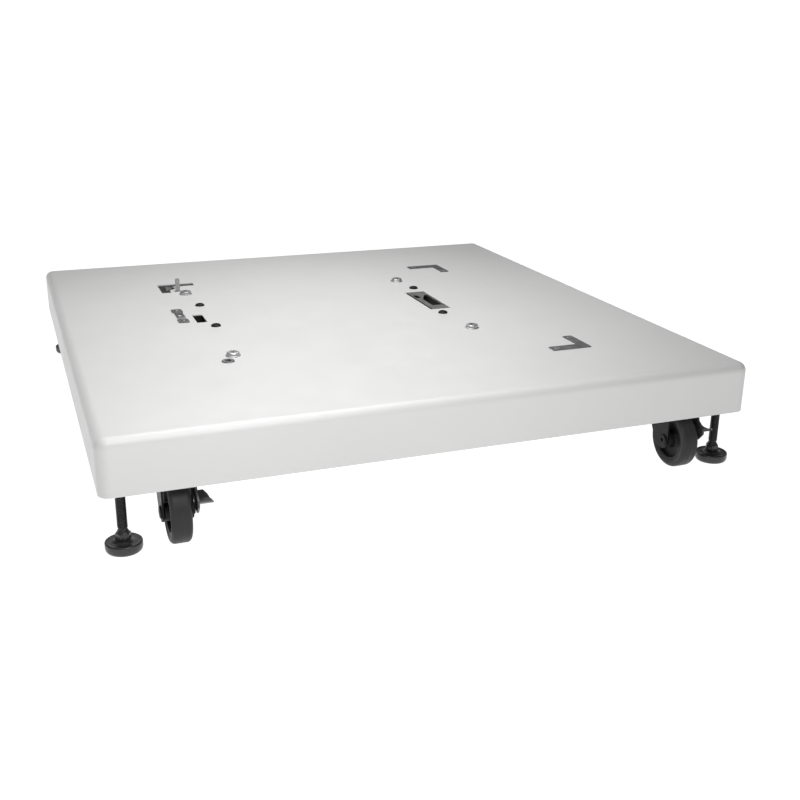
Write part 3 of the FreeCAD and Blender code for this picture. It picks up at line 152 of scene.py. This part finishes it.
GALVANISED = {"metal": 1.0, "patch": 110, "grain": 2200, "relief": 0.12}
PLATED = {"metal": 1.0, "patch": 60, "grain": 2200, "relief": 0.1, "stretch": (1, 0.06, 1)}
ZINC = {"metal": 1.0, "patch": 260, "grain": 2600, "relief": 0.2}
DULL_ZINC = {"metal": 0.6, "patch": 420, "grain": 2600, "relief": 0.3}
COATED = {"grain": 1300, "relief": 0.08, "gloss": 0.12}
STEM = {"grain": 1300, "relief": 0.05, "gloss": 0.35, "coat": 0.3}
PLATE = {"grain": 1500, "relief": 0.1, "gloss": 0.3}
RUBBER = {"grain": 1700, "relief": 0.18, "gloss": 0.16}
NYLON = {"grain": 2000, "relief": 0.12, "gloss": 0.16}
PAD = {"grain": 2000, "relief": 0.04, "gloss": 0.45, "coat": 0.15}
MATERIALS = {
    "white_powder_coat": surface(
        "powder_coat",
        (0.645, 0.645, 0.64),
        (0.675, 0.675, 0.67),
        (0.36, 0.46),
        patch=5,
        grain=750,
        relief=0.06,
    ),
    "black_steel": surface("black_coated_steel", (0.010,) * 3, (0.020,) * 3, (0.3, 0.46), **COATED),
    "stem_steel": surface("black_oxide_stem", (0.024,) * 3, (0.038,) * 3, (0.22, 0.36), **STEM),
    "lever_steel": surface("black_zinc_lever", (0.035,) * 3, (0.055,) * 3, (0.24, 0.38), **STEM),
    "dark_plate": surface("dark_plate", (0.012,) * 3, (0.03,) * 3, (0.35, 0.55), **PLATE),
    "galvanised_steel": surface("galvanised_steel", (0.20,) * 3, (0.30,) * 3, (0.5, 0.68), **GALVANISED),
    "plated_steel": surface("plated_steel", (0.50, 0.50, 0.49), (0.64, 0.64, 0.63), (0.28, 0.45), **PLATED),
    "bright_steel": surface("bright_zinc", (0.30,) * 3, (0.62,) * 3, (0.42, 0.6), **ZINC),
    "tyre_rubber": surface(
        "tyre_rubber", (0.030, 0.030, 0.031), (0.042, 0.042, 0.043), (0.38, 0.55), **RUBBER
    ),
    "black_nylon": surface("black_nylon", (0.007,) * 3, (0.013,) * 3, (0.34, 0.5), **NYLON),
    "dull_zinc": surface("dull_zinc", (0.05,) * 3, (0.34,) * 3, (0.5, 0.7), **DULL_ZINC),
    "pad_plastic": surface("pad_plastic", (0.02,) * 3, (0.028,) * 3, (0.26, 0.36), **PAD),
}


def two_heights(material, height, above):
    """Paints a material another colour above a height in the object's own frame."""
    tree = material.node_tree
    shader = tree.nodes["Principled BSDF"]
    place = tree.nodes.new("ShaderNodeTexCoord")
    split = tree.nodes.new("ShaderNodeSeparateXYZ")
    test = tree.nodes.new("ShaderNodeMath")
    test.operation = "GREATER_THAN"
    test.inputs[1].default_value = height
    tree.links.new(place.outputs["Object"], split.inputs["Vector"])
    tree.links.new(split.outputs["Z"], test.inputs[0])
    mix = tree.nodes.new("ShaderNodeMix")
    mix.data_type = "RGBA"
    mix.inputs["B"].default_value = (*above, 1)
    tree.links.new(shader.inputs["Base Color"].links[0].from_socket, mix.inputs["A"])
    tree.links.new(test.outputs["Value"], mix.inputs["Factor"])
    tree.links.new(mix.outputs["Result"], shader.inputs["Base Color"])


MATERIALS["dark_plate_with_tongue"] = surface(
    "dark_plate_with_tongue", (0.02,) * 3, (0.05,) * 3, (0.35, 0.55), **PLATE
)
TONGUE_PAINT_HEIGHT = 0.1222
TONGUE_GREY = (0.32, 0.32, 0.32)
OWN_MATERIALS = {
    "corner_locator_rear_left": "dark_plate_with_tongue",
    "threaded_insert": "dull_zinc",
    "brake_lever_front_left": "lever_steel",
    "brake_lever_front_right": "lever_steel",
}

for entry in frame["record"]["subparts"]:
    node = frame["nodes"][entry["node"]]
    node.data.materials.clear()
    node.data.materials.append(MATERIALS[OWN_MATERIALS.get(entry["node"], entry["material_slot"])])


# ---------------------------------------------------------------- mesh helpers

SAME_POINT = 1e-7


def add_mesh(name, vertices, faces, material, body, replaced=(), sharp=35):
    """A smooth-shaded mesh with sharp edges above an angle, riding on a body."""
    mesh = bpy.data.meshes.new(name)
    mesh.from_pydata(vertices, [], faces)
    bm = bmesh.new()
    bm.from_mesh(mesh)
    bmesh.ops.remove_doubles(bm, verts=bm.verts, dist=SAME_POINT)
    bmesh.ops.delete(bm, geom=[edge for edge in bm.edges if not edge.link_faces], context="EDGES")
    bmesh.ops.recalc_face_normals(bm, faces=bm.faces)
    bm.to_mesh(mesh)
    bm.free()
    for polygon in mesh.polygons:
        polygon.use_smooth = True
    mesh.set_sharp_from_angle(angle=math.radians(sharp))
    piece = bpy.data.objects.new(name, mesh)
    bpy.context.collection.objects.link(piece)
    mesh.materials.append(MATERIALS[material])
    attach(piece, body)
    if replaced:
        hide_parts(*replaced)
    return piece


def lathe(profile, place, axis="Z", segments=64):
    """Vertices and faces of a closed outline of (radius, along) pairs in mm, turned about an axis."""
    vertices = []
    faces = []
    count = len(profile)
    for step in range(segments):
        angle = 2 * math.pi * step / segments
        across, up = math.cos(angle), math.sin(angle)
        for radius, along in profile:
            if axis == "Z":
                spot = (radius * across, radius * up, along)
            else:
                spot = (along, radius * across, radius * up)
            vertices.append(Vector(place) + Vector(spot) * MM)
    for step in range(segments):
        here = step * count
        there = (step + 1) % segments * count
        for point in range(count):
            following = (point + 1) % count
            faces.append((here + point, there + point, there + following, here + following))
    return vertices, faces


def joined(*parts):
    """Several (vertices, faces) pairs as one."""
    vertices = []
    faces = []
    for some_vertices, some_faces in parts:
        start = len(vertices)
        vertices += some_vertices
        faces += [tuple(start + corner for corner in face) for face in some_faces]
    return vertices, faces


def centre(node):
    """The middle of a CAD node's box."""
    lowest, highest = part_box(node)
    return (lowest + highest) / 2


# ---------------------------------------------------------------- levelling feet

STEM_SIDES = 48
STEM_RADIUS = 4.95
STEM_END_RADIUS = 4.2
COLLAR_LOW = 11.5
COLLAR_TOP = 19.0
COLLAR_FLATS = 13
COLLAR_CORNER = 7.5
COLLAR_END = 6.4
COLLAR_CHAMFER = 0.7
THREAD_PITCH = 1.5
THREAD_ROOT = 4.15
THREAD_CREST = 4.98
THREAD_FLAT = 0.14
THREAD_FLANK = 0.28
ROWS_PER_PITCH = 6
SOCKET_RADIUS = 5.05
SOCKET_FLOOR = 6.7
BOSS_TOP = 11.2


def hexagon_reach(flats, angle):
    """The distance from a hexagon's middle to its side, with corners on the X axis."""
    sixth = math.pi / 3
    return flats / 2 / math.cos((angle % sixth) - sixth / 2)


def thread_reach(height, angle, start, end):
    """The radius of a right-hand thread that fades in and out at its ends."""
    phase = (height / THREAD_PITCH - angle / (2 * math.pi)) % 1
    ridge = min(max((abs(phase - 0.5) - THREAD_FLAT) / THREAD_FLANK, 0), 1)
    fade = min(max(min(height - start, end - height) / THREAD_PITCH, 0), 1)
    return THREAD_ROOT + (THREAD_CREST - THREAD_ROOT) * ridge * fade


def tower(rows, x, y):
    """A closed upright solid of rows (height, reach at an angle) in mm."""
    vertices = []
    faces = []
    for height, reach in rows:
        for step in range(STEM_SIDES):
            angle = 2 * math.pi * step / STEM_SIDES
            radius = reach(angle) if callable(reach) else reach
            spot = (x + radius * math.cos(angle) * MM, y + radius * math.sin(angle) * MM, height * MM)
            vertices.append(spot)
    for row in range(len(rows) - 1):
        for step in range(STEM_SIDES):
            following = (step + 1) % STEM_SIDES
            here = row * STEM_SIDES
            above = here + STEM_SIDES
            faces.append((here + step, here + following, above + following, above + step))
    faces.append(tuple(reversed(range(STEM_SIDES))))
    last = (len(rows) - 1) * STEM_SIDES
    faces.append(tuple(last + step for step in range(STEM_SIDES)))
    return vertices, faces


def make_stem(corner):
    """A stem with a rolled M10 thread above its hexagon collar."""
    middle = centre(f"foot_stem_{corner}")
    lowest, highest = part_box(f"foot_stem_{corner}")
    low = lowest.z / MM
    top = highest.z / MM
    rows = [(low, STEM_END_RADIUS), (low + 0.8, STEM_RADIUS), (COLLAR_LOW, STEM_RADIUS)]
    collar = (
        (COLLAR_LOW, COLLAR_END),
        (COLLAR_LOW + COLLAR_CHAMFER, COLLAR_CORNER),
        (COLLAR_TOP - COLLAR_CHAMFER, COLLAR_CORNER),
        (COLLAR_TOP, COLLAR_END),
    )
    for height, limit in collar:
        rows.append((height, lambda angle, limit=limit: min(hexagon_reach(COLLAR_FLATS, angle), limit)))
    rows += [
        (COLLAR_TOP + 0.2, 6.2),
        (COLLAR_TOP + 1.2, 5.6),
        (COLLAR_TOP + 2.0, 5.2),
        (COLLAR_TOP + 2.5, STEM_RADIUS),
    ]
    start = COLLAR_TOP + 3.5
    end = top - 0.6
    height = start
    while height < end:
        rows.append((height, lambda angle, height=height: thread_reach(height, angle, start, end)))
        height += THREAD_PITCH / ROWS_PER_PITCH
    rows += [(end, THREAD_ROOT), (top, THREAD_ROOT - 0.5)]
    vertices, faces = tower(rows, middle.x, middle.y)
    add_mesh(
        f"stem_{corner}",
        vertices,
        faces,
        "stem_steel",
        f"stem_{corner}",
        replaced=(f"foot_stem_{corner}",),
        sharp=40,
    )


def make_pad(corner):
    """A foot pad with a soft lower lip, a flat rim and a low boss around the stem's socket."""
    node = f"foot_pad_{corner}"
    middle = centre(node)
    lowest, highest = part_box(node)
    radius = (highest.x - lowest.x) / 2 / MM
    profile = [
        (0, 0),
        (radius - 3.4, 0),
        (radius - 1.6, 0.45),
        (radius - 0.7, 1.5),
        (radius - 0.25, 2.6),
        (radius, 3.6),
        (radius, 8.7),
        (radius - 0.25, 9.45),
        (radius - 0.9, 9.9),
        (radius - 1.8, 10),
        (radius - 2.4, 9.75),
        (radius - 3.4, 9.65),
        (10.2, 9.7),
        (9.2, 10.1),
        (8.1, BOSS_TOP),
        (SOCKET_RADIUS, BOSS_TOP),
        (SOCKET_RADIUS, SOCKET_FLOOR),
        (0, SOCKET_FLOOR),
    ]
    vertices, faces = lathe(profile, (middle.x, middle.y, 0), segments=96)
    add_mesh(
        node + "_skin",
        vertices,
        faces,
        "pad_plastic",
        f"pad_{corner}",
        replaced=(node,),
        sharp=50,
    )


# ---------------------------------------------------------------- wheels

TYRE_SEAT = 24.5
TYRE_ROUND = 4.6
SEAM_HEIGHT = 0.12
SHOULDER_STEPS = 8


def both_sides(half):
    """An outline of (radius, along) pairs, from its middle to its right side, with its mirror image."""
    mirrored = [(radius, -along) for radius, along in reversed(half)]
    return mirrored + half


def make_tyre(corner):
    """A tyre with full shoulders, a raised ring on each side and a fine seam round its middle."""
    node = f"tyre_{corner}"
    lowest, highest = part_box(node)
    radius = (highest.z - lowest.z) / 2 / MM
    side = (highest.x - lowest.x) / 2 / MM
    half = [(radius, 0.3)]
    for step in range(SHOULDER_STEPS + 1):
        angle = math.radians(90 - 90 * step / SHOULDER_STEPS)
        height = radius - TYRE_ROUND + TYRE_ROUND * math.sin(angle)
        half.append((height, side - TYRE_ROUND + TYRE_ROUND * math.cos(angle)))
    half += [
        (TYRE_SEAT + 2.6, side),
        (TYRE_SEAT + 2.3, side - 0.35),
        (TYRE_SEAT + 1.5, side - 0.4),
        (TYRE_SEAT + 0.3, side - 1.1),
        (TYRE_SEAT, side - 1.3),
    ]
    profile = both_sides(half)
    profile.insert(len(half), (radius + SEAM_HEIGHT, 0))
    vertices, faces = lathe(profile, centre(node), axis="X", segments=128)
    add_mesh(node + "_skin", vertices, faces, "tyre_rubber", f"wheel_{corner}", replaced=(node,), sharp=60)


def make_core(corner):
    """A moulded wheel centre: a hub, a dished web and a rim, with fillets between them."""
    node = f"wheel_core_{corner}"
    half = [
        (4.05, 12.5),
        (7.6, 12.5),
        (8.5, 12.1),
        (9.0, 11.2),
        (9.3, 6.6),
        (10.0, 5.2),
        (11.4, 4.3),
        (13.0, 4.0),
        (17.6, 4.0),
        (19.2, 4.4),
        (20.3, 5.6),
        (20.8, 7.4),
        (21.0, 8.5),
        (21.5, 9.0),
        (TYRE_SEAT, 9.0),
    ]
    vertices, faces = lathe(both_sides(half), centre(node), axis="X", segments=96)
    add_mesh(node + "_skin", vertices, faces, "black_nylon", f"wheel_{corner}", replaced=(node,), sharp=50)


# ---------------------------------------------------------------- underframe

WELD_RADIUS = 2.6
SHEET = 1.5 * MM
FLANGE_MIDDLE = 5 * MM
WELD_MARGIN = 18 * MM
SIDE_WELDS = 9
END_WELDS = 8


def weld_spots(middle_x, middle_y, height, way, reach, count):
    """A row of shallow round weld marks along X or Y, facing down."""
    spots = []
    for number in range(count):
        along = (-1 + 2 * number / (count - 1)) * reach
        x, y = (middle_x + along, middle_y) if way == "X" else (middle_x, middle_y + along)
        profile = [(0, -0.05), (1.5, -0.1), (2.1, -0.28), (WELD_RADIUS, 0), (0, 0.2)]
        spots.append(lathe(profile, (x, y, height), segments=20))
    return spots


def make_welds():
    """Spot-weld marks on the flanges of the four channels."""
    spots = []
    for node in ("side_channel_left", "side_channel_right", "end_channel_front", "end_channel_rear"):
        lowest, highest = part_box(node)
        middle = (lowest + highest) / 2
        flange_face = highest.z - SHEET
        if highest.y - lowest.y > highest.x - lowest.x:
            for flange in (lowest.x + FLANGE_MIDDLE, highest.x - FLANGE_MIDDLE):
                reach = (highest.y - lowest.y) / 2 - WELD_MARGIN
                spots += weld_spots(flange, middle.y, flange_face, "Y", reach, SIDE_WELDS)
        else:
            for flange in (lowest.y + FLANGE_MIDDLE, highest.y - FLANGE_MIDDLE):
                reach = (highest.x - lowest.x) / 2 - WELD_MARGIN
                spots += weld_spots(middle.x, flange, flange_face, "X", reach, END_WELDS)
    vertices, faces = joined(*spots)
    add_mesh("weld_spots", vertices, faces, "white_powder_coat", "chassis", sharp=50)


# ---------------------------------------------------------------- stage

FLOOR_REACH = 60.0
FLOOR_GREY = 0.3
FLOOR_ROUGHNESS = 0.9
FLOOR_GLOW = 1.0
HORIZON_GLOW = 1.1
SKY_GLOW = 0.13
SKY_FADE = (0.03, 0.2)
LAMPS = [
    ("key", (-0.05, 0.02, 0.76), (-0.05, 0.04, 0.12), 0.5, 4.7),
    ("front_fill", (-0.2, -0.6, 0.574), (-0.2, -0.3685, 0.09), 0.4, 2.5),
]


def add_area(name, place, target, size, power):
    """A square lamp at a place, turned to a target and hidden from the camera."""
    data = bpy.data.lights.new(name, "AREA")
    data.energy = power
    data.size = size
    light = bpy.data.objects.new(name, data)
    bpy.context.collection.objects.link(light)
    aim = (Vector(target) - Vector(place)).to_track_quat("-Z", "Y")
    light.matrix_world = Matrix.Translation(place) @ aim.to_matrix().to_4x4()
    light.visible_camera = False


def make_stage():
    """A glowing pale floor, a sky that darkens upwards, and the lamps."""
    mesh = bpy.data.meshes.new("floor")
    signs = ((-1, -1), (1, -1), (1, 1), (-1, 1))
    corners = [(x * FLOOR_REACH, y * FLOOR_REACH, 0) for x, y in signs]
    mesh.from_pydata(corners, [], [(0, 1, 2, 3)])
    floor = bpy.data.objects.new("floor", mesh)
    bpy.context.collection.objects.link(floor)
    material, _, shader = node_tree("floor")
    shader.inputs["Base Color"].default_value = (FLOOR_GREY, FLOOR_GREY, FLOOR_GREY, 1)
    shader.inputs["Roughness"].default_value = FLOOR_ROUGHNESS
    shader.inputs["Specular IOR Level"].default_value = 0
    shader.inputs["Emission Color"].default_value = (1, 1, 1, 1)
    shader.inputs["Emission Strength"].default_value = FLOOR_GLOW
    mesh.materials.append(material)

    world = bpy.data.worlds.new("studio")
    bpy.context.scene.world = world
    world.use_nodes = True
    tree = world.node_tree
    background = tree.nodes["Background"]
    background.inputs["Color"].default_value = (1, 1, 1, 1)
    place = tree.nodes.new("ShaderNodeTexCoord")
    split = tree.nodes.new("ShaderNodeSeparateXYZ")
    fade = tree.nodes.new("ShaderNodeMapRange")
    fade.interpolation_type = "SMOOTHSTEP"
    fade.inputs["From Min"].default_value = SKY_FADE[0]
    fade.inputs["From Max"].default_value = SKY_FADE[1]
    fade.inputs["To Min"].default_value = HORIZON_GLOW
    fade.inputs["To Max"].default_value = SKY_GLOW
    tree.links.new(place.outputs["Generated"], split.inputs["Vector"])
    tree.links.new(split.outputs["Z"], fade.inputs["Value"])
    tree.links.new(fade.outputs["Result"], background.inputs["Strength"])
    for name, spot, target, size, power in LAMPS:
        add_area(name, spot, target, size, power)


CAMERA_PLACE = (-0.41113, -1.27594, 0.47214)
CAMERA_LENS = 47.41
CAMERA_AZIMUTH = math.radians(-20.95)
CAMERA_ELEVATION = math.radians(19.52)
CAMERA_ROLL = math.radians(0.55)


def make_camera():
    """The camera's place and turn: azimuth and elevation of its view, and a small roll."""
    flat = math.cos(CAMERA_ELEVATION)
    back = Vector(
        (math.sin(CAMERA_AZIMUTH) * flat, -math.cos(CAMERA_AZIMUTH) * flat, math.sin(CAMERA_ELEVATION))
    )
    level = Vector((math.cos(CAMERA_AZIMUTH), math.sin(CAMERA_AZIMUTH), 0))
    upright = back.cross(level)
    across = math.cos(CAMERA_ROLL) * level + math.sin(CAMERA_ROLL) * upright
    up = -math.sin(CAMERA_ROLL) * level + math.cos(CAMERA_ROLL) * upright
    data = bpy.data.cameras.new("camera")
    data.lens = CAMERA_LENS
    data.sensor_width = 36
    data.clip_start = 0.01
    camera = bpy.data.objects.new("camera", data)
    bpy.context.collection.objects.link(camera)
    turn = Matrix((across, up, back)).transposed().to_4x4()
    camera.matrix_world = Matrix.Translation(CAMERA_PLACE) @ turn
    bpy.context.scene.camera = camera


two_heights(MATERIALS["dark_plate_with_tongue"], TONGUE_PAINT_HEIGHT, TONGUE_GREY)
for corner in CORNERS:
    make_stem(corner)
    make_pad(corner)
    make_tyre(corner)
    make_core(corner)
make_welds()
make_stage()
make_camera()
bpy.context.scene.view_settings.view_transform = "Standard"
